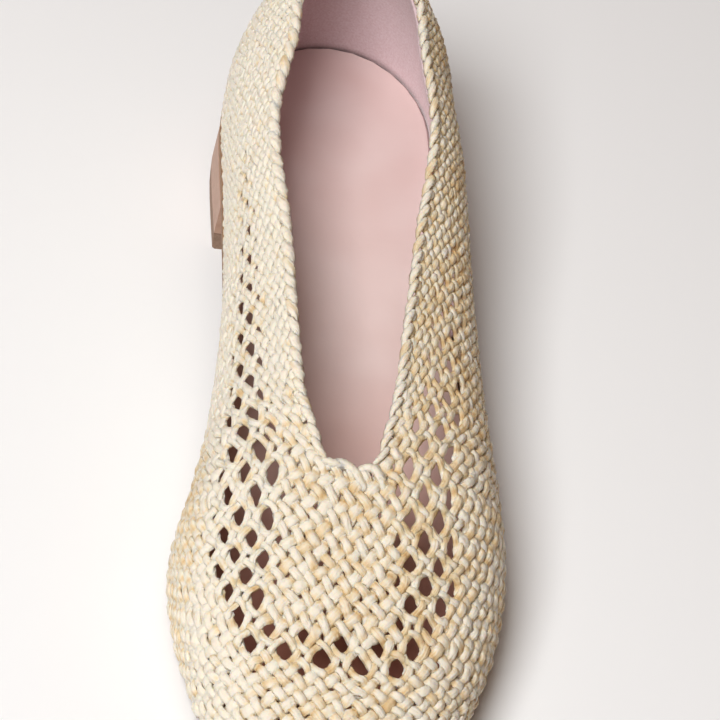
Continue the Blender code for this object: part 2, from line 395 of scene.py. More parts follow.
def drawn(index, share):
    """A cord's place across its family, once it is drawn towards its partner at the even number."""
    partner = 2 * np.round(index / 2)
    apart = index - partner
    return partner + (1 - share) * apart + share * apart ** 3


def opened_up(left, right):
    """The places of the cords numbered left and right once the openwork is drawn, and how tightly."""
    share = open_share((left + right) / 2, (right - left) / 2)
    left_share = share * (1 - SPREAD_AT_CROSSING * (1 + np.cos(math.pi * right)) / 2)
    right_share = share * (1 - SPREAD_AT_CROSSING * (1 + np.cos(math.pi * left)) / 2)
    return drawn(left, left_share), drawn(right, right_share), share


print("share at a side hole and on the vamp:", open_share(np.array([-4.0, -4.0]), np.array([-7.0, 0.0])))

# %% [markdown]
# A raffia cord is a strip of palm leaf, folded on itself until it is a soft round cord about two and
# a half millimetres wide. It could be a curve with a bevel, but a cord that passes over and under
# also swells where it lies on top and is pinched where it dives, so each one is lofted as rings along
# its path. The rings also carry what the finish needs later: how far along the cord and round it they
# are, how pale the raffia is there, which holds painted light and painted shade as well as its own
# straw, and the cord's own tone, which for the family that leans left adds painted light.

# %% Loft cords from rings
CORD_SIDES = 8
CRUMPLE = 0.085


class CordMesh:
    """Collects closed tubes and turns them into one piece."""

    def __init__(self):
        self.points, self.quads, self.caps, self.count = [], [], [], 0
        self.pales, self.tones, self.runs, self.turns = [], [], [], []

    def add(self, path, outward, half_width, half_height, pale, tone, luck):
        """One tube along path (model metres). outward is the side that faces out."""
        rings = len(path)
        crumple = 1 + CRUMPLE * luck.standard_normal((rings, CORD_SIDES))
        along = np.gradient(path, axis=0)
        along /= np.linalg.norm(along, axis=1, keepdims=True)
        across = np.cross(outward, along)
        across /= np.linalg.norm(across, axis=1, keepdims=True)
        up = np.cross(along, across)
        angle = np.arange(CORD_SIDES) / CORD_SIDES * 2 * math.pi - math.pi / 2
        ring = (
            across[:, None] * (np.cos(angle)[None, :] * half_width[:, None])[..., None]
            + up[:, None] * (np.sin(angle)[None, :] * half_height[:, None])[..., None]
        )
        self.points.append((path[:, None] + ring * crumple[..., None]).reshape(-1, 3))
        i, k = np.meshgrid(np.arange(rings - 1), np.arange(CORD_SIDES), indexing="ij")
        here, beside = i * CORD_SIDES + k, i * CORD_SIDES + (k + 1) % CORD_SIDES
        quads = np.stack((here, beside, beside + CORD_SIDES, here + CORD_SIDES), axis=-1)
        self.quads.append(quads.reshape(-1, 4) + self.count)
        first = np.arange(CORD_SIDES) + self.count
        self.caps.append(first[::-1])
        self.caps.append(first + (rings - 1) * CORD_SIDES)
        steps = np.linalg.norm(np.diff(path, axis=0), axis=1)
        self.runs.append(np.concatenate(([0.0], np.cumsum(steps))) / MM)
        self.pales.append(np.repeat(pale, CORD_SIDES))
        self.tones.append(np.full(rings * CORD_SIDES, tone))
        self.turns.append(np.tile(np.arange(CORD_SIDES) / CORD_SIDES, rings))
        self.count += rings * CORD_SIDES

    def make(self, name, material):
        """The tubes as one smooth piece, with what its finish needs stored on the points."""
        faces = [tuple(face) for face in np.concatenate(self.quads).tolist() + np.array(self.caps).tolist()]
        mesh = bpy.data.meshes.new(name)
        mesh.from_pydata(np.concatenate(self.points).tolist(), [], faces)
        run_values = [np.repeat(run, CORD_SIDES) for run in self.runs]
        layers = {"run": run_values, "pale": self.pales, "tone": self.tones, "turn": self.turns}
        for label, values in layers.items():
            layer = mesh.attributes.new(label, "FLOAT", "POINT")
            layer.data.foreach_set("value", np.concatenate(values).astype(np.float32))
        mesh.shade_smooth()
        mesh.materials.append(material)
        piece = bpy.data.objects.new(name, mesh)
        bpy.context.scene.collection.objects.link(piece)
        triangles = sum(len(face) - 2 for face in faces)
        print(name, "has", len(self.runs), "cords and", triangles, "triangles")
        return piece


print("each ring of a cord has", CORD_SIDES, "points")

# %% [markdown]
# Every finish needs the same two helpers. Colours are written as the sRGB hex values that a designer
# would pick, and the shader works in linear light, so one function turns them. Another adds a node
# with its settings and links in one line, which keeps each material short enough to read.

# %% Helpers for the finishes
def linear(code):
    """An sRGB hex colour as the linear colour that the shader works in."""
    parts = [int(code[i:i + 2], 16) / 255 for i in (1, 3, 5)]
    return tuple(p / 12.92 if p <= 0.04045 else ((p + 0.055) / 1.055) ** 2.4 for p in parts) + (1.0,)


def add_node(tree, kind, inputs=None, **settings):
    """A node with its settings. An input takes either a value or another node's output."""
    node = tree.nodes.new(kind)
    for name, value in settings.items():
        setattr(node, name, value)
    for name, value in (inputs or {}).items():
        if isinstance(value, bpy.types.NodeSocket):
            tree.links.new(value, node.inputs[name])
        else:
            node.inputs[name].default_value = value
    return node


def new_finish(name, **sockets):
    """A Principled material whose even values are set on the shader's own sockets."""
    material = bpy.data.materials.new(name)
    material.use_nodes = True
    shader = material.node_tree.nodes["Principled BSDF"]
    for socket, value in sockets.items():
        shader.inputs[socket.replace("_", " ")].default_value = value
    return material, material.node_tree, shader


def add_ramp(tree, factor, stops):
    """A colour ramp from (place, hex colour) stops."""
    node = add_node(tree, "ShaderNodeValToRGB", {"Fac": factor})
    ramp = node.color_ramp
    for place, code in stops[1:-1]:
        ramp.elements.new(place)
    for element, (place, code) in zip(ramp.elements, stops):
        element.position = place
        element.color = linear(code)
    return node.outputs["Color"]


print("helpers ready")

# %% [markdown]
# Raffia is the dried skin of palm leaves. It is pale and silky, with fine fibres that run along the
# cord, and it turns straw yellow where it is creased or rubbed. The colour follows each cord: cream
# on the crests that ride on top and straw where it dives, partly the leaf's own straw and partly
# painted shade. The medial side is painted paler as painted light, the lateral quarters tanner as
# painted shade, the low medial wall tanner as straw mottling and painted shade, and the family that
# leans left paler as painted light. Each cord also has its own tone, blotches and streaks. The fibres
# themselves are a fraction of a millimetre, so they are drawn as streaks about half a millimetre
# wide, the finest that still shows in the picture. The folds of the leaf are dents in the bump, and
# some light goes into the leaf, so the finish is dry with a little subsurface scattering.

# %% Raffia
# Lengths along the cord in millimetres, and how many of each go round it.
RAFFIA_STREAK_LENGTH, RAFFIA_STREAKS_AROUND = 6.0, 11.0
RAFFIA_BLOTCH_LENGTH, RAFFIA_BLOTCHES_AROUND = 4.5, 1.5
RAFFIA_DENT_LENGTH, RAFFIA_DENTS_AROUND = 1.3, 5.0
RAFFIA_FIBRE_RELIEF = 0.45 * MM
RAFFIA_DENT_SHARE = 1.4
RAFFIA_DARKEST = -0.20
CORDS_APART = 97.0

raffia, tree, shader = new_finish(
    "raffia palm leaf cord", Roughness=0.66, IOR=1.5, Subsurface_Weight=0.5, Subsurface_Scale=1.2 * MM,
)
shader.inputs["Subsurface Radius"].default_value = (1.0, 0.75, 0.5)
run, pale, tone, turn = (
    add_node(tree, "ShaderNodeAttribute", attribute_name=label).outputs["Fac"]
    for label in ("run", "pale", "tone", "turn")
)


def along_cord(length, around, detail):
    """A noise that is stretched along the cord, and that is each cord's own."""
    scaled = {}
    for axis, (value, scale) in enumerate(((run, 1 / length), (turn, around), (tone, CORDS_APART))):
        product = add_node(tree, "ShaderNodeMath", {0: value, 1: scale}, operation="MULTIPLY")
        scaled[axis] = product.outputs[0]
    place = add_node(tree, "ShaderNodeCombineXYZ", scaled).outputs[0]
    noise = add_node(tree, "ShaderNodeTexNoise", {"Vector": place, "Scale": 1.0, "Detail": detail})
    return noise.outputs["Fac"]


streaks = along_cord(RAFFIA_STREAK_LENGTH, RAFFIA_STREAKS_AROUND, 3.0)
blotches = along_cord(RAFFIA_BLOTCH_LENGTH, RAFFIA_BLOTCHES_AROUND, 2.0)
dents = along_cord(RAFFIA_DENT_LENGTH, RAFFIA_DENTS_AROUND, 1.0)
level = RAFFIA_DARKEST
# The pale attribute carries the crest colour together with painted light and painted shade.
for part, weight in ((pale, 0.24), (tone, 0.18), (streaks, 0.45), (blotches, 0.75)):
    summed = add_node(tree, "ShaderNodeMath", {0: part, 1: weight, 2: level}, operation="MULTIPLY_ADD")
    level = summed.outputs[0]
colour = add_ramp(tree, level, (
    (0.16, "#BD9663"),
    (0.38, "#D9BE91"),
    (0.56, "#E6D5B6"),
    (0.72, "#EBE4D5"),
))
tree.links.new(colour, shader.inputs["Base Color"])
creases = add_node(tree, "ShaderNodeMath", {
    0: dents, 1: RAFFIA_DENT_SHARE, 2: streaks,
}, operation="MULTIPLY_ADD").outputs[0]
relief = add_node(tree, "ShaderNodeBump", {
    "Strength": 0.8, "Distance": RAFFIA_FIBRE_RELIEF, "Height": creases,
})
tree.links.new(relief.outputs[0], shader.inputs["Normal"])
print("finish:", raffia.name)

# %% [markdown]
# One cord, before all of them. Its height is a cosine along it, which is all that over and under
# means. Underneath it spreads until the cloth is closed. On the vamp the cords that lean left ride
# high, and at the lateral side the others do. The side walls and the quarters are pulled tight, so
# they lie flatter, and drawn cords are slimmer and flatter so that the holes stay open. Crests are
# pale and dives are straw, partly the leaf's own straw and partly painted shade. The medial side is
# painted palest as painted light and the lateral quarters tanner as painted shade. Each cord could be
# shaped by hand, but as functions of the chart these rules hold for all of them.

# %% How one cord lies
CORD_WIDTH, CORD_HEIGHT = 2.42, 1.5
CORD_FILL, UNDERSIDE_FILL = 1.02, 1.10
CREST, CREST_FULLER = 0.54, 0.3
WALL_RELIEF, WALL_THINNER = 0.58, 0.14
VAMP_LIFT, QUARTER_LIFT = 0.25, 0.15
WIDTH_ON_TOP = 0.97
VAMP_PINCH, QUARTER_PINCH = 0.04, 0.13
LATERAL_SLIM = 0.14
OPENWORK_SLIM, OPENWORK_FLATTER = 0.12, 0.14
LOW_FAMILY_SPREAD = 0.65
QUARTER_ROWS = (9.0, 14.0)
# Columns over which the two sides begin, each on the vamp and on the quarters.
LATERAL_FROM, LATERAL_TO = (3.0, -0.5), (6.5, 1.0)
MEDIAL_FROM = (-8.0, -1.0)
WALL_COLUMNS, LOW_WALL_COLUMNS = (7.5, 11.0), (9.0, 12.0)
# Painted light makes the medial side paler and painted shade the lateral quarters tanner; the low medial
# wall is tanner as straw mottling and painted shade.
MEDIAL_PAINTED_LIGHT, LOW_WALL_STRAW_AND_SHADE, LATERAL_PAINTED_SHADE, OPENWORK_TANNER = 0.6, 0.7, 0.3, 0.25


def flipped(normals):
    """Outward directions in the model frame, whose Y runs against the stations."""
    return normals * np.array((1.0, -1.0, 1.0))


def chart_point(left, right):
    """The point of the last under the place where the cords numbered left and right cross."""
    return on_last(*chart_to_tape((left + right) / 2, (right - left) / 2))[0]


def cord_room(left, right, leans_left):
    """Millimetres from a cord to the next one of its family, before any are drawn together."""
    by_left = chart_point(left + 0.5, right) - chart_point(left - 0.5, right)
    by_right = chart_point(left, right + 0.5) - chart_point(left, right - 0.5)
    area = np.linalg.norm(np.cross(by_left, by_right), axis=1)
    return area / np.linalg.norm(by_right if leans_left else by_left, axis=1)


def zones(row, column):
    """How far a place is on the quarters, on the lateral side and on a wall, each from 0 to 1."""
    behind = ease(-row, *QUARTER_ROWS)
    lateral = ease(column, between(*LATERAL_FROM, behind), between(*LATERAL_TO, behind))
    walls = np.maximum(behind, ease(np.abs(column), *WALL_COLUMNS))
    return behind, lateral, walls


def riding_height(leans_left, over, share, zone):
    """Millimetres from the middle of the cloth up to the middle of the cord."""
    behind, lateral, walls = zone
    relief = CREST * (1 - (1 - WALL_RELIEF) * walls) * (1 - OPENWORK_FLATTER * share)
    crest = over * (1 + CREST_FULLER - CREST_FULLER * over ** 2)
    lift = VAMP_LIFT * (1 - behind) * (1 - 2 * lateral) - QUARTER_LIFT * behind * lateral
    return relief * crest + (lift if leans_left else -lift) * (1 - share)


def half_sizes(leans_left, over, share, zone, room, uneven):
    """Half the width and half the height of the cord in millimetres."""
    behind, lateral, walls = zone
    fitted = np.minimum(1.0, CORD_FILL * room / CORD_WIDTH)
    slimmed = (1 - OPENWORK_SLIM * share) * (1 - LATERAL_SLIM * behind * lateral)
    pinch = between(VAMP_PINCH, QUARTER_PINCH, behind)
    half_width = CORD_WIDTH / 2 * (WIDTH_ON_TOP - pinch + pinch * over) * fitted * uneven * slimmed
    # Undersides, and on the vamp the family that rides low, spread until they close the cloth.
    low_family = (1 - behind) * (lateral if leans_left else 1 - lateral)
    spread = np.maximum(np.maximum(-over, 0.0), LOW_FAMILY_SPREAD * low_family) * (1 - share)
    half_width = half_width + np.maximum(UNDERSIDE_FILL * room / 2 - half_width, 0.0) * spread
    flatter = np.sqrt(fitted * (1 - OPENWORK_FLATTER * share))
    half_height = CORD_HEIGHT / 2 * (1 - WALL_THINNER * walls) * flatter * uneven
    return half_width, half_height


def paleness(over, share, column, zone):
    """How pale the cord is: about 0 where it dives and 1 on a crest, partly its own straw and partly
    painted shade; painted light adds more on the medial side, painted shade takes some off on the lateral
    quarters, and the low medial wall and the openwork are tanner.
    """
    behind, lateral, _ = zone
    medial = 1 - ease(column, between(*MEDIAL_FROM, behind), 0.0)
    low_wall = ease(-column, *LOW_WALL_COLUMNS) * (1 - behind)
    tanner = LOW_WALL_STRAW_AND_SHADE * low_wall + LATERAL_PAINTED_SHADE * behind * lateral + OPENWORK_TANNER * share
    return np.abs(over) + MEDIAL_PAINTED_LIGHT * medial - tanner


print("a cord is", CORD_WIDTH, "mm wide and", CORD_HEIGHT, "mm high")

# %% [markdown]
# Now the weaving. Cords of one family keep the same row-minus-column number, cords of the other keep
# the same row-plus-column number, and they cross at every half step. Over and under swap from one
# cord to the next. Where a cord would pass the foot hole or the sole edge it stops, tucked under the
# binding or the sole. On the quarters the floats are pulled straighter. Hand weaving is never even,
# so each cord wanders and swells a little, always the same way on every run.

# %% Weave the upper
CLOTH_DEPTH = 1.25
STRAIGHTEN = 0.10
RINGS_PER_CROSSING = 5
UNEVEN_PLACE, UNEVEN_LIFT, UNEVEN_SIZE = 0.10, 0.09, 0.08
QUARTER_UNEVENNESS = 0.5
CORD_SWELL = 0.05
DRIFT, DRIFT_PACE = 0.06, 0.83
LEFT_FAMILY_PAINTED_LIGHT = 0.15
SOLE_TUCK, SOLE_CURL = 1.5, 0.30
RIM_OVERLAP = 1.1
SEAM_OVERLAP = 0.15
HIGHEST_COLUMN = 19
VAMP_ENDS_AT_ROW = -17.0


def stretches(kept):
    """Starts and ends of the runs of places that are kept."""
    changes = np.diff(np.concatenate(([0], kept.astype(int), [0])))
    return np.flatnonzero(changes).reshape(-1, 2)


def weave_family(leans_left, meshes, luck):
    """All cords of one family, lofted into the mesh of the vamp or of the quarters."""
    first = math.floor(FIRST_ROW) - HIGHEST_COLUMN
    last = math.ceil(LAST_ROW) + HIGHEST_COLUMN
    running = np.arange(first, last, 1 / RINGS_PER_CROSSING)
    crossings = np.arange(first, last + 1)
    for fixed in np.arange(first, last) + 0.5:
        # The family that leans left gets a paler tone: painted light.
        tone = (1 - LEFT_FAMILY_PAINTED_LIGHT) * luck.random() + (LEFT_FAMILY_PAINTED_LIGHT if leans_left else 0.0)
        swell = 1 + CORD_SWELL * luck.standard_normal()
        uneven_place, uneven_lift, uneven_size = (
            amount * np.interp(running, crossings, luck.standard_normal(len(crossings)))
            for amount in (UNEVEN_PLACE, UNEVEN_LIFT, UNEVEN_SIZE)
        )
        sign = (1 if leans_left else -1) * (-1) ** math.floor(fixed)
        over = sign * np.cos(math.pi * (running - 0.5))
        in_quarters = ease(-(fixed + running) / 2, *QUARTER_ROWS)
        steadier = between(1.0, QUARTER_UNEVENNESS, in_quarters)
        straighter = STRAIGHTEN * in_quarters * sign * np.sin(math.pi * (running - 0.5))
        drift = DRIFT * np.sin(running * DRIFT_PACE + luck.random() * 2 * math.pi)
        own = fixed + uneven_place * steadier + straighter + drift
        left, right = (own, running) if leans_left else (running, own)
        left_place, right_place, share = opened_up(left, right)
        row, column = (left_place + right_place) / 2, (right_place - left_place) / 2
        station, tape = chart_to_tape(row, column)
        margin = np.abs(tape) - topline_at(station, tape)
        past_sole = np.abs(tape) - girth_at(station, tape)
        beside_hole = station < THROAT_END
        kept = (row > FIRST_ROW - SEAM_OVERLAP) & (row < LAST_ROW) & (past_sole < SOLE_TUCK)
        kept &= ~beside_hole | (margin > RIM_OVERLAP)
        for start, end in stretches(kept):
            if end - start < 2 * RINGS_PER_CROSSING:
                continue
            pick = slice(start, end)
            zone = zones(row[pick], column[pick])
            room = cord_room(left[pick], right[pick], leans_left)
            curl = SOLE_CURL * np.maximum(past_sole[pick], 0.0) ** 2
            height = riding_height(leans_left, over[pick], share[pick], zone) - CLOTH_DEPTH
            height = height + uneven_lift[pick] * steadier[pick] - curl
            half_width, half_height = half_sizes(
                leans_left, over[pick], share[pick], zone, room, swell + uneven_size[pick],
            )
            pale = paleness(over[pick], share[pick], column[pick], zone)
            surface, outward = on_last(station[pick], tape[pick])
            path = to_model(surface + outward * height[:, None])
            part = "vamp" if row[pick].mean() > VAMP_ENDS_AT_ROW else "quarters"
            meshes[part].add(path, flipped(outward), half_width * MM, half_height * MM, pale, tone, luck)


luck = np.random.default_rng(7)
weave_pieces = []
for leans_left in (True, False):
    meshes = {"vamp": CordMesh(), "quarters": CordMesh()}
    weave_family(leans_left, meshes, luck)
    for part, cords in meshes.items():
        lean = "left" if leans_left else "right"
        weave_pieces.append(cords.make(f"weave_{part}_{lean}", raffia))
for piece in weave_pieces:
    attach(piece, "root")
    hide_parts("upper")

# %% [markdown]
# The edge of the foot hole is one closed line on the last: along the medial topline to the throat, and
# back along the lateral one. It is cut into even steps and softened a little, as cloth can't turn
# sharply. Each step also gets a direction out of the cloth and one away from the hole, so that a
# cord can be wrapped round the edge anywhere.

# %% Follow the edge of the foot hole
RIM_STEP = 0.3
# Steps on either side that a place on the rim is averaged with.
RIM_LINE_SOFT, RIM_OUT_SOFT = 8, 12
RIM_BELOW_EDGE, RIM_DEPTH = 1.15, 0.85
TOPLINE_STEPS, THROAT_STEPS = 400, 160


def topline_readings():
    """Stations and tape readings once round the foot hole, from the back seam by way of the throat."""
    to_throat = np.linspace(BACK_SEAM, THROAT_START, TOPLINE_STEPS, endpoint=False)
    before_end = np.linspace(1.0, 0.0, THROAT_STEPS) ** 3
    throat = THROAT_END - (THROAT_END - THROAT_START) * before_end
    stations = np.concatenate((to_throat, throat))
    medial = -np.interp(stations, SHEET_STATIONS, medial_top)
    lateral = np.interp(stations, SHEET_STATIONS, lateral_top)
    return np.concatenate((stations, stations[::-1])), np.concatenate((medial, lateral[::-1]))


def running_length(points):
    """Length along a row of points, at each of them."""
    return np.concatenate(([0.0], np.cumsum(np.linalg.norm(np.diff(points, axis=0), axis=1))))


def even_steps(values, lengths, count):
    """Rows of values spread evenly along a path of the given lengths."""
    places = np.linspace(0.0, lengths[-1], count, endpoint=False)
    return np.stack([np.interp(places, lengths, column) for column in values.T], axis=1)


def softened(values, reach):
    """A closed row of values, each averaged with its neighbours."""
    window = np.hanning(2 * reach + 3)[1:-1]
    window /= window.sum()
    padded = np.concatenate((values[-reach:], values, values[:reach]))
    columns = [np.convolve(column, window, mode="valid") for column in padded.T]
    return np.stack(columns, axis=1)


def on_rim(values, places):
    """Values of the closed rim row at places in millimetres along it."""
    at = np.mod(places / RIM_LENGTH, 1.0) * len(values)
    i = at.astype(int) % len(values)
    share = (at - np.floor(at))[:, None]
    return values[i] * (1 - share) + values[(i + 1) % len(values)] * share


rim_surface, rim_outward = on_last(*topline_readings())
rim_lengths = running_length(rim_surface)
RIM_LENGTH = rim_lengths[-1]
THROAT_PLACE = rim_lengths[len(rim_lengths) // 2]
rim_steps = int(RIM_LENGTH / RIM_STEP)
rim_line = softened(even_steps(rim_surface, rim_lengths, rim_steps), RIM_LINE_SOFT)
rim_out = softened(even_steps(rim_outward, rim_lengths, rim_steps), RIM_OUT_SOFT)
rim_out /= np.linalg.norm(rim_out, axis=1, keepdims=True)
rim_along = np.roll(rim_line, -1, axis=0) - np.roll(rim_line, 1, axis=0)
rim_along /= np.linalg.norm(rim_along, axis=1, keepdims=True)
rim_away = np.cross(rim_out, rim_along)
rim_centre = rim_line - rim_out * RIM_DEPTH + rim_away * RIM_BELOW_EDGE
print("topline is", round(RIM_LENGTH), "mm round")

# %% [markdown]
# At the edge each cord turns over and goes back into the cloth, so the rim is a row of plump slanted
# grains. A rope wound round the edge would look alike from afar, but its grains could lean only one
# way. Here each grain is a short cord of its own that starts inside, comes over the edge and runs
# down outside. The grains lean towards the throat on the medial side and the other way on the
# lateral side, as the cords do, and two longer loops lie over the throat.

# %% Bind the edge of the foot hole
RIM_GRAIN, RIM_GRAIN_RUN = 4.6, 6.2
RIM_CORD_WIDTH, RIM_CORD_HEIGHT = 3.0, 2.3
RIM_REACH_DOWN, RIM_REACH_OUT = 1.15, 0.85
RIM_FACES, RIM_WRAP = -60.0, 65.0
RIM_RINGS = 16
RIM_UNEVEN_PLACE, RIM_UNEVEN_SIZE = 0.35, 0.05
RIM_TAPER = 0.5
LATERAL_GRAIN = 0.72
THROAT_LOOPS = (
    # tape and millimetres ahead of the throat, four places along each loop
    ((-7.9, 0.8), (-3.7, -0.9), (0.2, 0.7), (3.2, 5.2)),
    ((0.6, 1.2), (4.0, -0.4), (6.3, 1.0), (8.0, 4.6)),
)
THROAT_LOOP_REACH = 4.6
LOOP_CORD_WIDTH, LOOP_CORD_HEIGHT = 2.6, 1.8
LOOP_DEPTH, LOOP_DIVE, LOOP_TAPER = 0.35, 1.1, 0.2
# A plumper part of a grain or loop is paler, so its middle on top of the edge is paler than the tapered
# ends that tuck in: partly the leaf's own straw and partly painted shade. The slimmer lateral grains come
# out tanner.
GRAIN_PALE, LOOP_PALE, PLUMP_PALER = 0.5, 0.2, 0.7


def bind_grains(binding, luck):
    """Short cords round the edge, except where the loops lie."""
    grain_count = round(RIM_LENGTH / RIM_GRAIN)
    turned = np.linspace(-1.0, 1.0, RIM_RINGS)
    angle = math.radians(RIM_FACES) + turned * math.radians(RIM_WRAP)
    facing_out, facing_away = np.cos(angle)[:, None], np.sin(angle)[:, None]
    for grain in range(grain_count):
        middle = grain / grain_count * RIM_LENGTH + RIM_UNEVEN_PLACE * luck.standard_normal()
        if abs(middle - THROAT_PLACE) < THROAT_LOOP_REACH:
            continue
        on_medial = middle < THROAT_PLACE
        places = middle + (-1.0 if on_medial else 1.0) * turned * RIM_GRAIN_RUN / 2
        out, away = on_rim(rim_out, places), on_rim(rim_away, places)
        bend = out * RIM_REACH_OUT * facing_out + away * RIM_REACH_DOWN * facing_away
        plump = 1 - RIM_TAPER * turned ** 2 + RIM_UNEVEN_SIZE * luck.standard_normal()
        plump = plump * (1.0 if on_medial else LATERAL_GRAIN)
        tone = luck.random()
        binding.add(
            to_model(on_rim(rim_centre, places) + bend), flipped(out * facing_out + away * facing_away),
            RIM_CORD_WIDTH / 2 * MM * plump, RIM_CORD_HEIGHT / 2 * MM * plump,
            GRAIN_PALE + PLUMP_PALER * plump, tone, luck,
        )
    print("bound in", grain_count, "grains")


def lay_loops(binding, luck):
    """Longer cords that come over the edge at the throat and go back into the cloth."""
    for knots in THROAT_LOOPS:
        tape_knots, ahead_knots = np.array(knots).T
        order = np.arange(len(knots))
        along_loop = np.linspace(0.0, len(knots) - 1.0, 2 * RIM_RINGS)
        tape = smooth(order, tape_knots, along_loop, level=False)
        ahead = smooth(order, ahead_knots, along_loop, level=False)
        surface, outward = on_last(THROAT_END + ahead, tape)
        near_end = np.abs(along_loop / along_loop[-1] * 2 - 1) ** 3
        height = -LOOP_DEPTH - LOOP_DIVE * near_end
        plump = 1 - LOOP_TAPER * near_end
        tone = luck.random()
        binding.add(
            to_model(surface + outward * height[:, None]), flipped(outward),
            LOOP_CORD_WIDTH / 2 * MM * plump, LOOP_CORD_HEIGHT / 2 * MM * plump,
            LOOP_PALE + PLUMP_PALER * plump, tone, luck,
        )


binding = CordMesh()
luck = np.random.default_rng(11)
bind_grains(binding, luck)
lay_loops(binding, luck)
rim_binding = binding.make("rim_binding", raffia)
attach(rim_binding, "root")

# %% [markdown]
# The heel is lined so that it doesn't rub: a thin pink suede counter inside the back, from the binding
# down to the insole, that tapers out along the sides. It is the last's own sheet again, moved in by
# the thickness of the cloth, with a Solidify modifier for the suede's thickness.

# %% Line the heel
LINING_DEPTH = 3.0
LINING_THICKNESS = 0.7
LINING_FRONT = 96.0
LINING_TOP_GAP = 1.6
INSOLE_TOP = 3.0
LINING_TUCK = 1.8
LINING_TAPERS_FROM, LINING_TAPER = 55.0, 0.8
LINING_COLUMNS, LINING_ROWS = 70, 16
SUEDE_NAP, SUEDE_RELIEF = 0.6, 0.2


def lining_grid():
    """Rows of points from the front of the medial side round the heel to the front of the lateral side."""
    walk = np.linspace(BACK_SEAM, LINING_FRONT, LINING_COLUMNS)
    stations = np.concatenate((walk[::-1], walk[1:]))
    side = np.concatenate((-np.ones(len(walk)), np.ones(len(walk) - 1)))
    top = topline_at(stations, side) + LINING_TOP_GAP
    foot = girth_at(stations, side) - INSOLE_TOP + LINING_TUCK
    top = between(top, foot, LINING_TAPER * ease(stations, LINING_TAPERS_FROM, LINING_FRONT))
    share = np.linspace(0.0, 1.0, LINING_ROWS)
    tapes = side[:, None] * (top[:, None] + (foot - top)[:, None] * share[None, :])
    surface, outward = on_last(np.repeat(stations[:, None], LINING_ROWS, axis=1), tapes)
    return to_model(surface - outward * LINING_DEPTH)


def grid_mesh(name, grid, material):
    """A quad mesh from a grid of points."""
    rows, columns = grid.shape[:2]
    faces = []
    for i in range(rows - 1):
        for j in range(columns - 1):
            corner = i * columns + j
            faces.append((corner, corner + 1, corner + columns + 1, corner + columns))
    mesh = bpy.data.meshes.new(name)
    mesh.from_pydata(grid.reshape(-1, 3).tolist(), [], faces)
    mesh.shade_smooth()
    mesh.materials.append(material)
    piece = bpy.data.objects.new(name, mesh)
    bpy.context.scene.collection.objects.link(piece)
    return piece


suede, tree, shader = new_finish("pink suede lining", Roughness=0.9, IOR=1.45, Sheen_Weight=0.5)
place = add_node(tree, "ShaderNodeNewGeometry").outputs["Position"]
nap = add_node(tree, "ShaderNodeTexNoise", {
    "Vector": place, "Scale": 1 / (SUEDE_NAP * MM), "Detail": 3.0,
}).outputs["Fac"]
suede_colour = add_ramp(tree, nap, ((0.2, "#D3BABD"), (0.5, "#DDC8CC"), (0.8, "#E5D5D9")))
tree.links.new(suede_colour, shader.inputs["Base Color"])
nap_relief = add_node(tree, "ShaderNodeBump", {
    "Strength": 0.5, "Distance": SUEDE_RELIEF * MM, "Height": nap,
})
tree.links.new(nap_relief.outputs[0], shader.inputs["Normal"])

heel_lining = grid_mesh("heel_lining", lining_grid(), suede)
thickness = heel_lining.modifiers.new("suede", "SOLIDIFY")
thickness.thickness = LINING_THICKNESS * MM
thickness.offset = 0.0
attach(heel_lining, "root")
print("lining from station", LINING_FRONT, "round the heel")

# %% [markdown]
# The insole is smooth lining leather, dyed dusty pink. It has fine pores and a soft satin sheen, and
# the dyeing is never quite even. Towards the toe, under the vamp, it is painted darker and redder as
# painted shade. The CAD node already has the right shape, so it only gets the finish.

# %% Insole leather
PORE, PORE_RELIEF = 0.9, 0.1
DYE_CLOUD = 26.0
# Stations over which the insole is painted darker and redder towards the toe, as painted shade.
TOE_SHADE_STATIONS = (110.0, 200.0)
SHARP_EDGE = 50.0

insole_leather, tree, shader = new_finish("dusty pink lining leather", Roughness=0.5, IOR=1.5)
place = add_node(tree, "ShaderNodeNewGeometry").outputs["Position"]
pores = add_node(tree, "ShaderNodeTexVoronoi", {
    "Vector": place, "Scale": 1 / (PORE * MM),
}, feature="F1").outputs["Distance"]
clouds = add_node(tree, "ShaderNodeTexNoise", {
    "Vector": place, "Scale": 1 / (DYE_CLOUD * MM), "Detail": 2.0,
}).outputs["Fac"]
pale_dye = add_ramp(tree, clouds, ((0.3, "#D9C1BD"), (0.7, "#E1CECB")))
# Towards the toe the colour passes to a darker, redder one: painted shade under the vamp.
toe_shade_colour = add_ramp(tree, clouds, ((0.3, "#CC8C78"), (0.7, "#D69C8A")))
forward = add_node(tree, "ShaderNodeSeparateXYZ", {0: place}).outputs["Y"]
toe_shade_share = add_node(tree, "ShaderNodeMapRange", {
    "Value": forward,
    "From Min": (MIDDLE_STATION - TOE_SHADE_STATIONS[0]) * MM,
    "From Max": (MIDDLE_STATION - TOE_SHADE_STATIONS[1]) * MM,
}).outputs["Result"]
dye_and_toe_shade = add_node(tree, "ShaderNodeMix", {"Factor": toe_shade_share}, data_type="RGBA")
tree.links.new(pale_dye, dye_and_toe_shade.inputs["A"])
tree.links.new(toe_shade_colour, dye_and_toe_shade.inputs["B"])
tree.links.new(dye_and_toe_shade.outputs["Result"], shader.inputs["Base Color"])
pore_relief = add_node(tree, "ShaderNodeBump", {
    "Strength": 0.12, "Distance": PORE_RELIEF * MM, "Height": pores,
})
tree.links.new(pore_relief.outputs[0], shader.inputs["Normal"])


def dress(node, material):
    """Gives a CAD node a finish in place of its plain one, and soft shading between its facets."""
    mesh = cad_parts[node].data
    mesh.materials.clear()
    mesh.materials.append(material)
    mesh.shade_smooth()
    mesh.set_sharp_from_angle(angle=math.radians(SHARP_EDGE))
    print(node, "wears", material.name)


dress("insole", insole_leather)

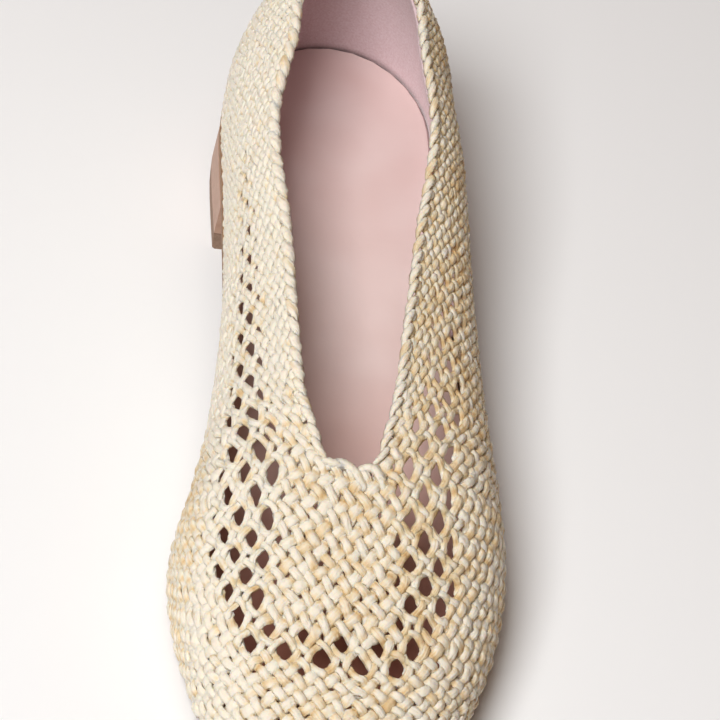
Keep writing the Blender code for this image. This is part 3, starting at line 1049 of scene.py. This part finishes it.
# %% [markdown]
# Below the upper are three plain parts: a tan sole, a stacked heel wrapped in thin leather, and a
# taupe rubber lift that touches the ground. Each is matt, with its own grain: leather has small
# pebbles, and moulded rubber is a little speckled.

# %% Sole, heel and lift
GROUND_FINISHES = (
    # node, material name, dark, light, roughness, grain and relief in millimetres
    ("outsole", "tan sole leather", "#8A6A50", "#A88766", 0.6, 1.4, 0.12),
    ("heel_block", "pinkish tan heel leather", "#BC9883", "#C8A692", 0.45, 1.8, 0.08),
    ("heel_lift", "taupe moulded rubber", "#937A68", "#A88C78", 0.7, 0.8, 0.08),
)
for node, name, dark, light, roughness, grain_size, relief_height in GROUND_FINISHES:
    material, tree, shader = new_finish(name, Roughness=roughness, IOR=1.5)
    place = add_node(tree, "ShaderNodeNewGeometry").outputs["Position"]
    grain = add_node(tree, "ShaderNodeTexNoise", {
        "Vector": place, "Scale": 1 / (grain_size * MM), "Detail": 4.0,
    }).outputs["Fac"]
    tree.links.new(add_ramp(tree, grain, ((0.3, dark), (0.7, light))), shader.inputs["Base Color"])
    relief = add_node(tree, "ShaderNodeBump", {
        "Strength": 0.4, "Distance": relief_height * MM, "Height": grain,
    })
    tree.links.new(relief.outputs[0], shader.inputs["Normal"])
    dress(node, material)

# %% [markdown]
# The camera stands high in front of the toe, a little to the medial side, and is rolled so that the
# shoe points down the picture. Its place was worked out by matching the outline of the last to the
# photograph. A long lens keeps the heel and the toe in proportion.

# %% Camera
CAMERA_AZIMUTH, CAMERA_ELEVATION, CAMERA_ROLL = -12.32, 49.65, 15.05
CAMERA_DISTANCE = 864.2
CAMERA_TARGET = np.array((0.0, 123.0, 25.0))
PICTURE_SIDE = 720
FOCAL_PIXELS = 3385.4
PICTURE_CENTRE = (335.15, 383.72)

azimuth, elevation, roll = np.radians((CAMERA_AZIMUTH, CAMERA_ELEVATION, CAMERA_ROLL))
backward = np.array((
    math.sin(azimuth) * math.cos(elevation), -math.cos(azimuth) * math.cos(elevation), math.sin(elevation),
))
level_right = np.cross((0.0, 0.0, 1.0), backward)
level_right /= np.linalg.norm(level_right)
level_up = np.cross(backward, level_right)
camera_right = math.cos(roll) * level_right + math.sin(roll) * level_up
camera_up = -math.sin(roll) * level_right + math.cos(roll) * level_up
camera_place = to_model(CAMERA_TARGET) + backward * CAMERA_DISTANCE * MM
pose = np.eye(4)
pose[:3, :3] = np.stack((camera_right, camera_up, backward), axis=1)
pose[:3, 3] = camera_place
lens = bpy.data.cameras.new("camera")
lens.sensor_width = 36.0
lens.lens = FOCAL_PIXELS / PICTURE_SIDE * lens.sensor_width
lens.shift_x = (PICTURE_SIDE / 2 - PICTURE_CENTRE[0]) / PICTURE_SIDE
lens.shift_y = (PICTURE_CENTRE[1] - PICTURE_SIDE / 2) / PICTURE_SIDE
lens.clip_start = 0.01
camera = bpy.data.objects.new("camera", lens)
camera.matrix_world = Matrix(pose.tolist())
bpy.context.scene.collection.objects.link(camera)
bpy.context.scene.camera = camera
print("lens", round(lens.lens, 1), "mm at", np.round(camera_place, 3))

# %% [markdown]
# A product photograph of a pale shoe is lit by large soft boxes. The key box stands high in front and
# to the left, so the medial wall is bright and the lateral wall falls into shade, which a wide box
# overhead and a weak warm room light fill. The floor is a plain white sheet. The Standard view keeps
# the colours as they were written, and a gamma just under 1 deepens the shade.

# %% Light and floor
FLOOR_SIDE = 6.0
ROOM_COLOUR, ROOM_STRENGTH = "#FFCCAC", 0.12
VIEW_GAMMA = 0.9
SOFT_BOXES = (
    # name, place in metres, side in metres, watts
    ("key", (-0.54, -0.52, 1.22), 0.65, 18.4),
    ("overhead", (-0.35, -0.1, 1.6), 1.2, 4.2),
)

floor_paper, tree, shader = new_finish("white paper", Roughness=0.8, IOR=1.45)
shader.inputs["Base Color"].default_value = linear("#F4F6F7")
bpy.ops.mesh.primitive_plane_add(size=FLOOR_SIDE, location=(0.0, 0.0, 0.0))
floor = bpy.context.object
floor.name = "floor"
floor.data.materials.append(floor_paper)

for name, place, side, watts in SOFT_BOXES:
    lamp = bpy.data.lights.new(name, "AREA")
    lamp.size = side
    lamp.energy = watts
    holder = bpy.data.objects.new(name, lamp)
    toward = np.array(place) / np.linalg.norm(place)
    across = np.cross((0.0, 1.0, 0.0), toward)
    across /= np.linalg.norm(across)
    aim = np.eye(4)
    aim[:3, :3] = np.stack((across, np.cross(toward, across), toward), axis=1)
    aim[:3, 3] = place
    holder.matrix_world = Matrix(aim.tolist())
    bpy.context.scene.collection.objects.link(holder)
room = bpy.data.worlds.new("warm room")
room.use_nodes = True
backdrop = room.node_tree.nodes["Background"]
backdrop.inputs["Color"].default_value = linear(ROOM_COLOUR)
backdrop.inputs["Strength"].default_value = ROOM_STRENGTH
bpy.context.scene.world = room
bpy.context.scene.view_settings.view_transform = "Standard"
bpy.context.scene.view_settings.gamma = VIEW_GAMMA
print("soft boxes:", len(SOFT_BOXES))
